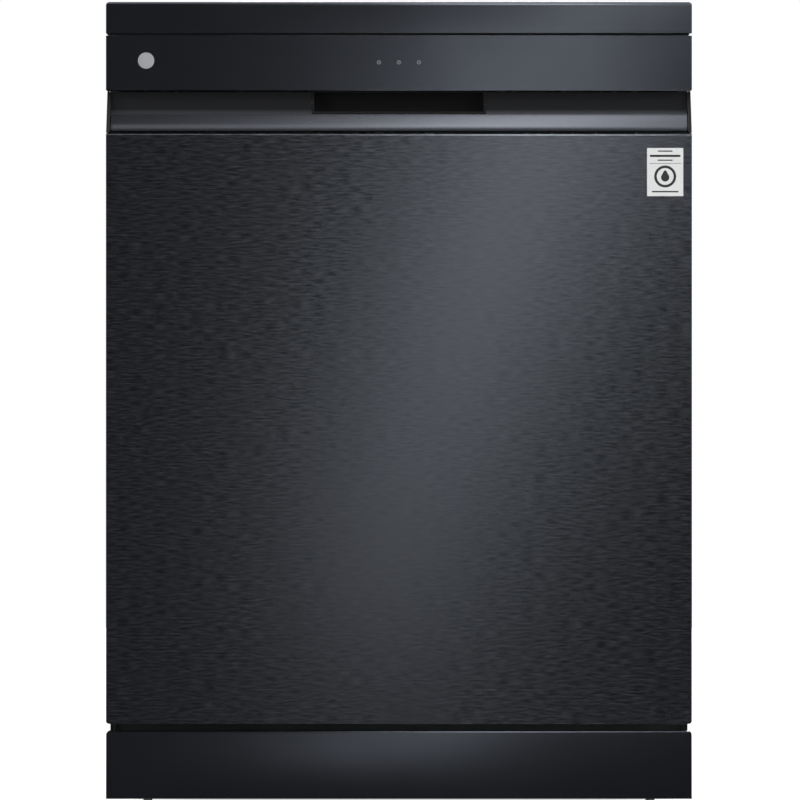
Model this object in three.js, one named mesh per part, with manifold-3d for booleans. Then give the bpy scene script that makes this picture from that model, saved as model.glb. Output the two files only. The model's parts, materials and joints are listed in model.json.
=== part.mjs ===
// A 60 cm dishwasher with its own lid and kick plate, as an assembly of separate named pieces.
// Millimetres, +Z up. The door faces -Y and +X is to the right of somebody who faces it.
// The origin is on the floor, under the middle of the machine.
import * as THREE from "three";
import { mergeVertices } from "three/addons/utils/BufferGeometryUtils.js";
import Module from "manifold-3d";

const wasm = await Module();
wasm.setup();

// ---------------------------------------------------------------- driving dimensions
const GAP = 0.3; // clearance between pieces that touch
const SHEET = 1.2; // pressed sheet metal
const SLIVER = 0.01; // slivers thinner than this are taken off a joined solid
const HEIGHT = 850;
const BACK = 300;
const FRONT = -300; // front face of the door

const LID = { half: 299.2, front: -298.5, bottom: 817.6, round: 4 };

const DOOR = { half: 299, bottom: 112.5, top: 815, shellBack: -272, corner: 3 };
const HINGE = { y: -282, z: 124.5, pin: 4, eye: 8 };
const FASCIA_BOTTOM = 759.5;
const PANEL_TOP = 715.5;
const PANEL_ROLL = 3;
const COVE = { radius: 32, y: -316, z: 739.6, sweep: 41 }; // hollow of the hand pocket
const COVE_TOE = { y: -296.6, z: 717.2 }; // its lower edge, just over the door panel
const RECESS = { half: 87, bottom: 739, top: 772, depth: 22 }; // grip in the middle of the pocket
const LINER = { half: 288, bottom: 140, top: 812, front: -271, face: -247 };
const LIGHTS = { pitch: 20.4, z: 787.7, radius: 2 };
const STRIP = { half: 280, front: -291.7, back: -271.7, bottom: 797 }; // controls on the door's top edge
const BUTTON = { width: 24, depth: 12, positions: [-210, 0, 210] };

const KICK = { half: 299.4, bottom: 35.4, top: 104.5, front: -295, corner: 3 };
const BASE = { half: 292, front: -255, back: 288, bottom: 36.5, top: 137, wall: 3 };
const FOOT = { x: 262, front: -228, back: 258, pad: 20, stem: 5, top: 64 };
const SIDE = { outer: 298, inner: 297, front: -264, back: 294, bottom: 60, top: 816 };

const TUB = { half: 281, front: -238, back: 262, bottom: 140, top: 806, wall: 1.5, ledge: 160 };
const ARM = { x: 0, y: 20, reach: 225 }; // the three spray arms turn on one vertical line
const SUMP = { half: 85, front: -150, back: 60, bottom: 80, top: 137.6, wall: 3 };
const FILTER = { y: -95, radius: 38 };
const PUMP = { y: 152, z: 88 }; // line of the circulation pump's shaft
const DRAIN = { x: -150, z: 75 }; // drain spigot at the rear
const INLET = { x: -215, z: 82 }; // water inlet spigot at the rear
const GLAND = { x: 200, z: 80 }; // mains cable gland at the rear
const REAR_PRESSINGS = [-180, 0, 180];

const LOWER_RACK = { half: 250, front: -228, back: 225, floor: 196, rim: 310 };
const WHEEL = { radius: 17, inner: 264, outer: 272, y: 150 };
const TINE = { x: 110, z: 206, height: 90, count: 8, pitch: 42 };
const UPPER_RACK = { half: 247, front: -228, back: 215, floor: 496, rim: 600, runner: 572 };
const TRAY = { half: 258, front: -226, back: 215, floor: 696, rim: 735, runner: 714 };
const CUP = { x: 0, width: 50, bottom: 395, top: 485 }; // detergent cup
const CAP = { x: 115, z: 440, radius: 17 }; // rinse aid cap

// ---------------------------------------------------------------- materials
const finishes = {
  blackSteel: { color: 0x34373e, roughness: 0.38, metalness: 0.85 },
  satinBlack: { color: 0x2e3138, roughness: 0.42, metalness: 0.7 },
  stainless: { color: 0xb9bcc0, roughness: 0.3, metalness: 1 },
  galvanised: { color: 0x9da3a8, roughness: 0.5, metalness: 0.8 },
  darkPlastic: { color: 0x15171a, roughness: 0.5, metalness: 0 },
  greyPlastic: { color: 0x8d9196, roughness: 0.5, metalness: 0 },
  basePlastic: { color: 0x202226, roughness: 0.65, metalness: 0 },
  rackWire: { color: 0x767b82, roughness: 0.45, metalness: 0 },
  rubber: { color: 0x1b1c1e, roughness: 0.8, metalness: 0 },
  boardGreen: { color: 0x1f5a3a, roughness: 0.5, metalness: 0 },
  lens: { color: 0xd8dde2, roughness: 0.2, metalness: 0 },
};

const model = new THREE.Group();

// Adds one closed solid to the model as a named mesh.
function add(name, solid, finish) {
  const mesh = new THREE.Mesh(geometryOf(solid), new THREE.MeshStandardMaterial(finishes[finish]));
  mesh.name = name;
  model.add(mesh);
}

// ---------------------------------------------------------------- solids
function solidOf(geometry) {
  const bare = geometry.index ? geometry.toNonIndexed() : geometry.clone();
  bare.deleteAttribute("normal");
  bare.deleteAttribute("uv");
  const merged = mergeVertices(bare, 1e-4);
  const { array } = merged.getAttribute("position");
  return new wasm.Manifold(
    new wasm.Mesh({ numProp: 3, vertProperties: array, triVerts: new Uint32Array(merged.index.array) }),
  );
}

function geometryOf(solid) {
  const mesh = solid.getMesh();
  const geometry = new THREE.BufferGeometry();
  geometry.setAttribute("position", new THREE.BufferAttribute(mesh.vertProperties, 3));
  geometry.setIndex(new THREE.BufferAttribute(mesh.triVerts, 1));
  geometry.computeVertexNormals();
  return geometry;
}

// asOriginal merges the coplanar faces that a join or a cut leaves behind.
const join = (...solids) => solids.reduce((whole, piece) => whole.add(piece)).asOriginal().simplify(SLIVER);
const cut = (solid, ...tools) => tools.reduce((left, tool) => left.subtract(tool), solid).asOriginal().simplify(SLIVER);

// A box between two corners. The corners are written as given, so boxes that share a plane share it exactly.
function box(x0, x1, y0, y1, z0, z1) {
  const geometry = new THREE.BoxGeometry(1, 1, 1);
  const points = geometry.getAttribute("position");
  const [left, right] = [Math.min(x0, x1), Math.max(x0, x1)];
  for (let n = 0; n < points.count; n++) {
    points.setXYZ(
      n,
      points.getX(n) > 0 ? right : left,
      points.getY(n) > 0 ? y1 : y0,
      points.getZ(n) > 0 ? z1 : z0,
    );
  }
  return solidOf(geometry);
}

// A box with walls of one thickness; open names the sides left open, such as "+Z".
function shell(x0, x1, y0, y1, z0, z1, wall, open) {
  const inset = (side) => (open.includes(side) ? -wall : wall);
  const hollow = box(
    x0 + inset("-X"),
    x1 - inset("+X"),
    y0 + inset("-Y"),
    y1 - inset("+Y"),
    z0 + inset("-Z"),
    z1 - inset("+Z"),
  );
  return cut(box(x0, x1, y0, y1, z0, z1), hollow);
}

// A round bar along X, Y or Z, from one coordinate to the other. a and b are its other two coordinates.
function rod(axis, from, to, a, b, radius, sides = 20) {
  const geometry = new THREE.CylinderGeometry(radius, radius, to - from, sides);
  const middle = (from + to) / 2;
  if (axis === "X") {
    geometry.rotateZ(Math.PI / 2).translate(middle, a, b);
  } else if (axis === "Y") {
    geometry.translate(a, middle, b);
  } else {
    geometry.rotateX(Math.PI / 2).translate(a, b, middle);
  }
  return solidOf(geometry);
}

// A section drawn as a Shape in (Y, Z), run along X.
function alongX(shape, x0, x1) {
  const geometry = new THREE.ExtrudeGeometry(shape, { depth: x1 - x0, bevelEnabled: false, curveSegments: 8 });
  const turn = new THREE.Matrix4().set(0, 0, 1, x0, 1, 0, 0, 0, 0, 1, 0, 0, 0, 0, 0, 1);
  return solidOf(geometry.applyMatrix4(turn));
}

// A plan drawn as a Shape in (X, Y), raised from z0 to z1.
function upright(shape, z0, z1, curveSegments = 8) {
  const geometry = new THREE.ExtrudeGeometry(shape, { depth: z1 - z0, bevelEnabled: false, curveSegments });
  return solidOf(geometry.translate(0, 0, z0));
}

// A body of revolution about the vertical line through (x, y). profile is a list of [radius, z].
function turned(profile, x, y, sides = 20) {
  const points = profile.map(([radius, z]) => new THREE.Vector2(radius, z));
  const geometry = new THREE.LatheGeometry(points, sides);
  return solidOf(geometry.rotateX(Math.PI / 2).translate(x, y, 0));
}

// A plate in (X, Z) from y0 to y1, with its two lower or its two upper corners rounded.
function roundedPlate(half, bottom, top, y0, y1, radius, rounded) {
  const outline = new THREE.Shape();
  const low = rounded === "lower" ? bottom + radius : bottom;
  const high = rounded === "upper" ? top - radius : top;
  outline.moveTo(half, low).lineTo(half, high);
  if (rounded === "upper") {
    outline.absarc(half - radius, high, radius, 0, Math.PI / 2, false);
    outline.absarc(radius - half, high, radius, Math.PI / 2, Math.PI, false);
    outline.lineTo(-half, low);
  } else {
    outline.lineTo(-half, high);
    outline.absarc(radius - half, low, radius, Math.PI, 1.5 * Math.PI, false);
    outline.absarc(half - radius, low, radius, 1.5 * Math.PI, 2 * Math.PI, false);
  }
  const geometry = new THREE.ExtrudeGeometry(outline, { depth: y1 - y0, bevelEnabled: false, curveSegments: 6 });
  return solidOf(geometry.rotateX(Math.PI / 2).translate(0, y1, 0));
}

// An open grid of square bars in the plane of two axes, u and v, from corner low to corner high.
// low and high are [x, y, z]; cells is the number of openings along u and along v.
function grid(low, high, u, v, cells, bar) {
  const bars = [];
  for (const [across, count] of [[u, cells[0]], [v, cells[1]]]) {
    const pitch = (high[across] - low[across] - bar) / count;
    for (let n = 0; n <= count; n++) {
      const from = [...low];
      const to = [...high];
      from[across] = n < count ? Math.round(low[across] + n * pitch) : high[across] - bar;
      to[across] = from[across] + bar;
      bars.push(box(from[0], to[0], from[1], to[1], from[2], to[2]));
    }
  }
  return join(...bars);
}

// A rack: a grid floor and four grid walls that stand on it.
function basket({ half, front, back, floor, rim }, bar, columns, rows) {
  const bottom = grid([-half, front, floor], [half, back, floor + bar], 0, 1, [columns, rows], bar);
  const ends = [front, back - bar].map((y) => grid([-half, y, floor], [half, y + bar, rim], 0, 2, [columns, 1], bar));
  const sides = [-half, half - bar].map((x) => grid([x, front, floor], [x + bar, back, rim], 1, 2, [rows, 1], bar));
  return join(bottom, ...ends, ...sides);
}

// ---------------------------------------------------------------- cabinet
function baseTray() {
  const { half, front, back, bottom, top, wall } = BASE;
  let tray = cut(
    box(-half, half, front, back, bottom, top),
    box(wall - half, half - wall, front + wall, back - wall, bottom + wall, top - wall),
    box(-272, 272, front + 15, back - 33, top - 4, top + 1),
  );
  for (const x of [-FOOT.x, FOOT.x]) {
    for (const y of [FOOT.front, FOOT.back]) {
      tray = join(tray, rod("Z", bottom + 1, bottom + 36, x, y, 14, 12));
      tray = cut(tray, rod("Z", bottom - 1, bottom + 38, x, y, FOOT.stem + 0.4, 12));
    }
  }
  const gland = rod("Y", back - 1, 297, GLAND.x, GLAND.z, 11, 16);
  const spigotHoles = [rod("Y", 280, 290, INLET.x, INLET.z, 14.5), rod("Y", 280, 290, DRAIN.x, DRAIN.z, 10.5)];
  return cut(join(tray, gland), ...spigotHoles, rod("Y", 280, 299, GLAND.x, GLAND.z, 4.5, 12));
}

function kickPlate() {
  const { half, bottom, top, front, corner } = KICK;
  const face = roundedPlate(half, bottom, top, front, front + 1, corner, "upper");
  const returns = [-1, 1].map((side) =>
    box(side * (half - 1), side * half, front + 0.5, SIDE.front - 2, bottom, top - 6));
  const lugs = [-200, 200].map((x) => box(x - 15, x + 15, front + 0.5, BASE.front - 0.5, 60, 64));
  return join(face, ...returns, ...lugs);
}

function sidePanel(side) {
  const { outer, inner, front, back, bottom, top } = SIDE;
  const skin = box(side * inner, side * outer, front, back, bottom, top);
  const frontReturn = box(side * 289, side * (inner + 0.5), front, front + 1, 150, top);
  const topReturn = box(side * 285, side * (inner + 0.5), front, back, top - 1, top);
  const rearReturn = box(side * 285, side * (inner + 0.5), back - 1, back, 120, top);
  return join(skin, frontReturn, topReturn, rearReturn);
}

function rearPanel() {
  const wall = 1;
  const plate = box(-296, 296, 291.5, 291.5 + wall, 112, 814);
  const pressings = REAR_PRESSINGS.map((x) => shell(x - 60, x + 60, 288.5, 292, 180, 740, wall, ["+Y"]));
  const openings = REAR_PRESSINGS.map((x) => box(x - 59, x + 59, 290, 293, 181, 739));
  return join(cut(plate, ...openings), ...pressings);
}

function worktopLid() {
  const { half, front, bottom, round } = LID;
  const outline = new THREE.Shape();
  outline.moveTo(front, bottom).lineTo(BACK, bottom).lineTo(BACK, HEIGHT).lineTo(front + round, HEIGHT);
  outline.absarc(front + round, HEIGHT - round, round, Math.PI / 2, Math.PI, false);
  const slab = alongX(outline, -half, half);
  const section = new THREE.Shape();
  section.moveTo(-half, bottom).lineTo(half, bottom).lineTo(half, HEIGHT - round);
  section.absarc(half - round, HEIGHT - round, round, 0, Math.PI / 2, false);
  section.absarc(round - half, HEIGHT - round, round, Math.PI / 2, Math.PI, false);
  const across = new THREE.ExtrudeGeometry(section, { depth: BACK - front, bevelEnabled: false, curveSegments: 8 });
  const rounded = slab.intersect(solidOf(across.rotateX(Math.PI / 2).translate(0, BACK, 0)));
  const skin = 2;
  return cut(rounded, box(skin - half, half - skin, front + skin, BACK - skin, bottom - 1, HEIGHT - skin));
}

// ---------------------------------------------------------------- tub
function tubWrapper() {
  const { half, front, back, bottom, top, wall } = TUB;
  const outer = box(-half - wall, half + wall, front, back, bottom, top + wall);
  const inside = box(-half, half, front - 1, back + 1, bottom - 1, top);
  const flange = cut(
    box(-half - 10, half + 10, front, front + wall, bottom + 10, top + 5.5),
    box(-half - 0.5, half + 0.5, front - 1, front + wall + 1, bottom, top + 0.5),
  );
  return join(cut(outer, inside), flange);
}

function tubBack() {
  const { half, back, bottom, top, wall } = TUB;
  const plate = box(-half - wall, half + wall, back + GAP, back + GAP + wall, bottom, top + wall);
  const pressing = shell(-180, 180, back + GAP + 0.5, back + GAP + 5, 330, 620, wall, ["-Y"]);
  const opening = box(-178.5, 178.5, back, back + GAP + 2, 331.5, 618.5);
  return join(cut(plate, opening), pressing);
}

function tubFloor() {
  const { half, front, back, ledge } = TUB;
  const low = 138;
  const block = box(-half + GAP, half - GAP, front + 2, back - GAP, low, ledge);
  const basin = box(-262, 262, front + 14, 235, low + 2, ledge + 1);
  const under = [-1, 1].map((side) => box(side * 264, side * 279, front + 4, back - 4, low - 1, ledge - 2));
  const mouth = box(1 - SUMP.half, SUMP.half - 1, SUMP.front + 1, SUMP.back - 1, low - 1, low + 3);
  return cut(block, basin, ...under, mouth);
}

function tubGasket() {
  return cut(box(-287.5, 287.5, -246.7, -238.3, 152, 811), box(-282, 282, -248, -237, 151, 806.5));
}

function doorBottomSeal() {
  const lip = new THREE.Shape();
  lip.moveTo(-246.5, 143).lineTo(-243, 141).lineTo(-238.3, 141).lineTo(-238.3, 150).lineTo(-243, 150);
  return alongX(lip, -284, 284);
}

function sump() {
  const { half, front, back, bottom, top, wall } = SUMP;
  const cup = shell(-half, half, front, back, bottom, top, wall, ["+Z"]);
  const rim = cut(
    box(-half - 8, half + 8, front - 8, back + 8, top - 3, top),
    box(1 - half, half - 1, front + 1, back - 1, top - 4, top + 1),
  );
  const riser = cut(rod("Z", bottom + 1, 166, ARM.x, ARM.y, 14), rod("Z", bottom + 4, 167, ARM.x, ARM.y, 10, 12));
  return join(cup, rim, riser, rod("Y", back - 1, 104, 40, 100, 14));
}

function filterMeshPlate() {
  const plate = box(-95, 95, -160, 70, 141.5, 143);
  const holes = [rod("Z", 140, 144, 0, FILTER.y, FILTER.radius + 1), rod("Z", 140, 144, ARM.x, ARM.y, 15)];
  return cut(plate, ...holes);
}

function filterCylinder() {
  const { radius, y } = FILTER;
  const body = turned([[0, 92], [radius - 8, 92], [radius - 2, 145], [radius + 5, 145], [radius + 5, 149], [0, 149]], 0, y);
  return join(body, box(-radius + 6, radius - 6, y - 3, y + 3, 148, 160));
}

function circulationPump() {
  const motor = rod("X", -20, 70, PUMP.y, PUMP.z, 38);
  const volute = rod("X", 69, 100, PUMP.y, PUMP.z, 46);
  return join(motor, volute, rod("Z", 120, 137, 85, PUMP.y, 12));
}

function drainPump() {
  const body = rod("X", -175, -96, 0, 75, 24);
  const spigot = cut(rod("Y", 10, 298, DRAIN.x, DRAIN.z, 9, 16), rod("Y", 200, 299, DRAIN.x, DRAIN.z, 6.5, 16));
  return join(body, spigot);
}

function inletValve() {
  const body = box(-235, -195, 225, 280, 60, 104);
  const coil = rod("Z", 103, 128, -215, 245, 15, 16);
  const spigot = cut(rod("Y", 279, 297, INLET.x, INLET.z, 13.2, 24), rod("Y", 283, 298, INLET.x, INLET.z, 9, 24));
  return join(body, coil, spigot);
}

function waterTank() {
  const tank = box(-296, -284, -40, 180, 260, 620);
  const grooves = [340, 420, 500].map((z) => box(-297, -294, -20, 160, z, z + 12));
  return cut(tank, ...grooves);
}

function sprayFeedPipe() {
  const column = box(-14, 14, 246, 260, 162, 804);
  const ceiling = box(-14, 14, ARM.y, 260, 792, 804);
  const port = cut(rod("Y", 238, 247, 0, 490, 11, 16), rod("Y", 237, 245, 0, 490, 8, 16));
  return join(column, ceiling, rod("Z", 788, 804, ARM.x, ARM.y, 16), port);
}

// ---------------------------------------------------------------- hinges, latch and rails
function hingeBracket(side) {
  const eye = rod("X", 293, 296, HINGE.y, HINGE.z, HINGE.eye, 24);
  const strap = box(293, 296, HINGE.y, -250, HINGE.z - 7, HINGE.z + 7);
  const plate = box(293, 296, -256, -170, 70, 136);
  const solid = cut(join(eye, strap, plate), rod("X", 292, 297, HINGE.y, HINGE.z, HINGE.pin + 0.3, 24));
  return side > 0 ? solid : solid.mirror([1, 0, 0]);
}

function hingeArm(side) {
  const eye = rod("X", 289, 292, HINGE.y, HINGE.z, HINGE.eye, 24);
  const strap = box(289, 292, HINGE.y - 7, HINGE.y + 7, HINGE.z, 260);
  const pin = rod("X", 291, 296.8, HINGE.y, HINGE.z, HINGE.pin, 24);
  const solid = join(eye, strap, pin);
  return side > 0 ? solid : solid.mirror([1, 0, 0]);
}

function latchStrike() {
  const plate = box(-20, 40, -234, -205, 807.8, 809.5);
  return join(plate, box(12.6, 18.6, -234, -228, 809, 815));
}

function latchHook() {
  const eye = rod("Z", 812.4, 814.4, 0, -262, 8, 20);
  return join(eye, box(-5, 5, -262, -222, 812.4, 814.4), box(-5, 12, -227, -222, 812.4, 814.4));
}

// A channel along Y on the tub wall, open towards the middle of the tub.
function rail(side, z, height, front, back) {
  const wall = 1.5;
  const outer = TUB.half - GAP;
  const inner = 268;
  const web = box(side * (outer - wall), side * outer, front, back, z - height / 2, z + height / 2);
  const low = box(side * inner, side * outer, front, back, z - height / 2, z - height / 2 + wall);
  const high = box(side * inner, side * outer, front, back, z + height / 2 - wall, z + height / 2);
  return join(web, low, high);
}

// ---------------------------------------------------------------- door
function doorOuterPanel() {
  const { half, bottom, shellBack, corner } = DOOR;
  const section = new THREE.Shape();
  const rollTop = PANEL_TOP - PANEL_ROLL;
  section.moveTo(FRONT, bottom).lineTo(FRONT + SHEET, bottom).lineTo(FRONT + SHEET, rollTop);
  section.absarc(FRONT + PANEL_ROLL, rollTop, PANEL_ROLL - SHEET, Math.PI, Math.PI / 2, true);
  section.lineTo(-294, PANEL_TOP - SHEET).lineTo(-294, PANEL_TOP).lineTo(FRONT + PANEL_ROLL, PANEL_TOP);
  section.absarc(FRONT + PANEL_ROLL, rollTop, PANEL_ROLL, Math.PI / 2, Math.PI, false);
  const face = alongX(section, -half, half);
  const sides = [-1, 1].map((side) =>
    box(side * (half - SHEET), side * half, FRONT + 0.5, shellBack, bottom, PANEL_TOP - 1));
  const foot = box(-284, 284, FRONT + 0.5, shellBack, bottom, bottom + SHEET);
  const within = roundedPlate(half, bottom, PANEL_TOP + 1, FRONT - 1, shellBack + 1, corner, "lower");
  return join(face, ...sides, foot).intersect(within).asOriginal().simplify(SLIVER);
}

function pocketTrim() {
  const { radius, y, z, sweep } = COVE;
  const end = (-sweep * Math.PI) / 180;
  const section = new THREE.Shape();
  section.moveTo(COVE_TOE.y, COVE_TOE.z).absarc(y, z, radius, end, 0, false);
  section.lineTo(y + radius, 759).lineTo(y + radius + SHEET, 759);
  section.absarc(y, z, radius + SHEET, 0, end, true);
  section.lineTo(COVE_TOE.y + SHEET, COVE_TOE.z - 1);
  const trim = alongX(section, -295.6, 295.6);
  return cut(trim, box(-RECESS.half - 2.5, RECESS.half + 2.5, -290, -280, RECESS.bottom - 2.5, 760));
}

function handleHousing() {
  const { half, bottom, top, depth } = RECESS;
  const wall = 2;
  const front = -284;
  const block = box(-half - wall, half + wall, front, front + depth + wall, bottom - wall, top + wall);
  const mouth = box(-half, half, front - 1, front + depth, bottom, 758.5);
  const throat = box(-half, half, front + 4, front + depth, bottom, top);
  const bar = box(-299, 299, -277, -274, 742, 746);
  const cheek = new THREE.Shape();
  cheek.moveTo(-299, 716.2).lineTo(-272, 716.2).lineTo(-272, 759.2).lineTo(-284.5, 759.2);
  const cheeks = [alongX(cheek, -DOOR.half, -296), alongX(cheek, 296, DOOR.half)];
  return join(cut(join(block, bar), mouth, throat), ...cheeks);
}

function controlFascia() {
  const { half, top, shellBack } = DOOR;
  const front = box(-half, half, FRONT, FRONT + SHEET, FASCIA_BOTTOM, top);
  const sides = [-1, 1].map((side) =>
    box(side * (half - SHEET), side * half, FRONT + 0.5, shellBack, FASCIA_BOTTOM, top));
  const under = box(-half, half, FRONT + 0.5, -285, FASCIA_BOTTOM, FASCIA_BOTTOM + SHEET);
  const lip = box(-half, half, FRONT + 0.5, -292, top - SHEET, top);
  const holes = [-1, 0, 1].map((n) => rod("Y", -302, -297, n * LIGHTS.pitch, LIGHTS.z, LIGHTS.radius + 0.3, 16));
  return cut(join(front, ...sides, under, lip), ...holes);
}

function indicatorLenses() {
  const { pitch, z, radius } = LIGHTS;
  const bar = box(-28, 28, -297.8, -294, z - 5, z + 5);
  const pins = [-1, 0, 1].map((n) => rod("Y", -299.8, -297, n * pitch, z, radius, 16));
  return join(bar, ...pins);
}

function controlHousing() {
  const { half, front, back, bottom } = STRIP;
  const wall = 2;
  const strip = shell(-half, half, front, back, bottom, DOOR.top, wall, ["-Z"]);
  const middle = (front + back) / 2;
  const holes = BUTTON.positions.map((x) =>
    box(
      x - BUTTON.width / 2 - 0.4,
      x + BUTTON.width / 2 + 0.4,
      middle - BUTTON.depth / 2 - 0.4,
      middle + BUTTON.depth / 2 + 0.4,
      DOOR.top - 5,
      DOOR.top + 1,
    ));
  return cut(strip, ...holes);
}

function button(x) {
  const middle = (STRIP.front + STRIP.back) / 2;
  const { width, depth } = BUTTON;
  const key = box(x - width / 2, x + width / 2, middle - depth / 2, middle + depth / 2, 806, DOOR.top + 0.4);
  const skirt = box(x - width / 2 - 2, x + width / 2 + 2, middle - depth / 2 - 1, middle + depth / 2 + 1, 806, 809);
  return join(key, skirt);
}

function doorInnerLiner() {
  const { half, bottom, top, front, face } = LINER;
  const pan = shell(-half, half, front, face, bottom, top, SHEET, ["-Y"]);
  return cut(pan, box(-36, 141, face - 5, face + 1, 384, 496));
}

function detergentDispenser() {
  const flange = box(-40, 145, -246.7, -243, 380, 500);
  const body = box(-35, 140, -268, -246, 385, 495);
  const cup = box(CUP.x - CUP.width / 2, CUP.x + CUP.width / 2, -266, -242, CUP.bottom, CUP.top);
  const well = rod("Y", -262, -242, CAP.x, CAP.z, 10, 20);
  return cut(join(flange, body), cup, well);
}

function detergentLid() {
  const half = CUP.width / 2 + 3;
  const plate = box(CUP.x - half, CUP.x + half, -242.7, -240.7, CUP.bottom - 3, CUP.top + 3);
  return join(plate, box(CUP.x + half - 12, CUP.x + half - 4, -241, -238.7, CUP.bottom + 15, CUP.top - 15));
}

function rinseAidCap() {
  const { x, z, radius } = CAP;
  return join(rod("Y", -242.7, -240.2, x, z, radius, 24), box(x - 3, x + 3, -241, -237.7, z - 13, z + 13));
}

// ---------------------------------------------------------------- racks and spray arms
function lowerRack() {
  const brackets = [-1, 1].flatMap((side) =>
    [-WHEEL.y, WHEEL.y].map((y) =>
      box(side * (LOWER_RACK.half - 4), side * (WHEEL.inner - 0.5), y - 8, y + 8, 172, LOWER_RACK.floor + 2)));
  return join(basket(LOWER_RACK, 4, 6, 5), ...brackets);
}

function rackWheel(side, y) {
  const { radius, inner, outer } = WHEEL;
  const z = TUB.ledge + radius + GAP;
  const [from, to] = side > 0 ? [inner, outer] : [-outer, -inner];
  return rod("X", from, to, y, z, radius, 24);
}

function tineRow(x) {
  const half = 2;
  const reach = ((TINE.count - 1) * TINE.pitch) / 2;
  let row = box(x - half, x + half, -reach - 10, reach + 10, TINE.z - half, TINE.z + half);
  for (let n = 0; n < TINE.count; n++) {
    const y = n * TINE.pitch - reach;
    row = join(row, box(x - half, x + half, y - half, y + half, TINE.z, TINE.z + TINE.height));
  }
  return row;
}

function upperRack() {
  const { half, front, back, floor, runner } = UPPER_RACK;
  const sides = [-1, 1].flatMap((side) => [
    box(side * 270, side * 276, front + 10, back - 5, runner - 6, runner + 6),
    ...[-150, 0, 150].map((y) => box(side * (half - 4), side * 271, y - 10, y + 10, runner - 2, runner + 2)),
    box(side * (half - 4), side * half, front + 2, back - 2, runner - 3, runner + 3),
  ]);
  const feed = box(-9, 9, ARM.y - 10, 236.5, floor - 9, floor + 1);
  const hub = rod("Z", floor - 10, floor + 2, ARM.x, ARM.y, 14);
  return join(basket(UPPER_RACK, 4, 6, 5), ...sides, feed, hub, box(-60, 60, front - 1, front + 3, 560, 598));
}

function cutleryTray() {
  const { half, front, back, floor, rim, runner } = TRAY;
  const floorGrid = grid([-half, front, floor], [half, back, floor + 3], 0, 1, [6, 3], 4);
  const inside = box(3 - half, half - 3, front + 3, back - 3, floor - 1, rim + 1);
  const walls = cut(box(-half, half, front, back, floor, rim), inside);
  const lips = [-1, 1].map((side) => box(side * (half - 2), side * 276, front + 5, back - 5, runner - 2, runner + 2));
  return join(floorGrid, walls, ...lips);
}

// Two tapered blades on a round hub, hung or stood on the common vertical line.
function sprayArm(z, hubBottom, hubTop) {
  const { x, y, reach } = ARM;
  const tip = 14;
  const root = 26;
  const plan = new THREE.Shape();
  plan.absarc(x + reach - tip, y, tip, -Math.PI / 2, Math.PI / 2, false);
  plan.lineTo(x + root, y + root);
  plan.lineTo(x - root, y + root);
  plan.absarc(x - reach + tip, y, tip, Math.PI / 2, (3 * Math.PI) / 2, false);
  plan.lineTo(x - root, y - root);
  plan.lineTo(x + root, y - root);
  return join(upright(plan, z, z + 10, 6), rod("Z", hubBottom, hubTop, x, y, 18));
}

function foot(x, y) {
  const profile = [[0, 0], [FOOT.pad, 0], [FOOT.pad, 5], [12, 14], [12, 22], [FOOT.stem, 22], [FOOT.stem, FOOT.top], [0, FOOT.top]];
  return turned(profile, x, y, 16);
}

// ---------------------------------------------------------------- assembly
const SIDES = { left: -1, right: 1 };

add("base_tray", baseTray(), "basePlastic");
add("kick_plate", kickPlate(), "satinBlack");
add("rear_panel", rearPanel(), "galvanised");
add("worktop_lid", worktopLid(), "satinBlack");
add("tub_wrapper", tubWrapper(), "stainless");
add("tub_back", tubBack(), "stainless");
add("tub_floor", tubFloor(), "stainless");
add("tub_gasket", tubGasket(), "rubber");
add("door_bottom_seal", doorBottomSeal(), "rubber");
add("sump", sump(), "darkPlastic");
add("filter_mesh_plate", filterMeshPlate(), "stainless");
add("filter_cylinder", filterCylinder(), "greyPlastic");
add("circulation_pump", circulationPump(), "greyPlastic");
add("drain_pump", drainPump(), "greyPlastic");
add("inlet_valve", inletValve(), "greyPlastic");
add("water_tank", waterTank(), "greyPlastic");
add("spray_feed_pipe", sprayFeedPipe(), "greyPlastic");
add("latch_strike", latchStrike(), "galvanised");
add("latch_hook", latchHook(), "galvanised");

for (const [name, side] of Object.entries(SIDES)) {
  add(`${name}_side_panel`, sidePanel(side), "galvanised");
  add(`hinge_bracket_${name}`, hingeBracket(side), "galvanised");
  add(`hinge_arm_${name}`, hingeArm(side), "galvanised");
  add(`upper_rail_${name}`, rail(side, UPPER_RACK.runner, 22, -232, 225), "stainless");
  add(`tray_rail_${name}`, rail(side, TRAY.runner, 12, -230, 225), "stainless");
  add(`tine_row_${name}`, tineRow(side * TINE.x), "rackWire");
  add(`foot_front_${name}`, foot(side * FOOT.x, FOOT.front), "darkPlastic");
  add(`foot_rear_${name}`, foot(side * FOOT.x, FOOT.back), "darkPlastic");
  add(`wheel_front_${name}`, rackWheel(side, -WHEEL.y), "greyPlastic");
  add(`wheel_rear_${name}`, rackWheel(side, WHEEL.y), "greyPlastic");
}

add("door_outer_panel", doorOuterPanel(), "blackSteel");
add("pocket_trim", pocketTrim(), "satinBlack");
add("handle_housing", handleHousing(), "darkPlastic");
add("control_fascia", controlFascia(), "satinBlack");
add("indicator_lenses", indicatorLenses(), "lens");
add("control_housing", controlHousing(), "darkPlastic");
add("control_board", box(-150, 150, -288, -275.5, 799, 800.6), "boardGreen");
add("door_insulation", box(-270, 270, -298.4, -293, 145, 695), "rubber");
add("door_inner_liner", doorInnerLiner(), "stainless");
add("detergent_dispenser", detergentDispenser(), "greyPlastic");
add("detergent_lid", detergentLid(), "greyPlastic");
add("rinse_aid_cap", rinseAidCap(), "darkPlastic");
["power_button", "programme_button", "start_button"].forEach((name, n) => {
  add(name, button(BUTTON.positions[n]), "darkPlastic");
});

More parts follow.
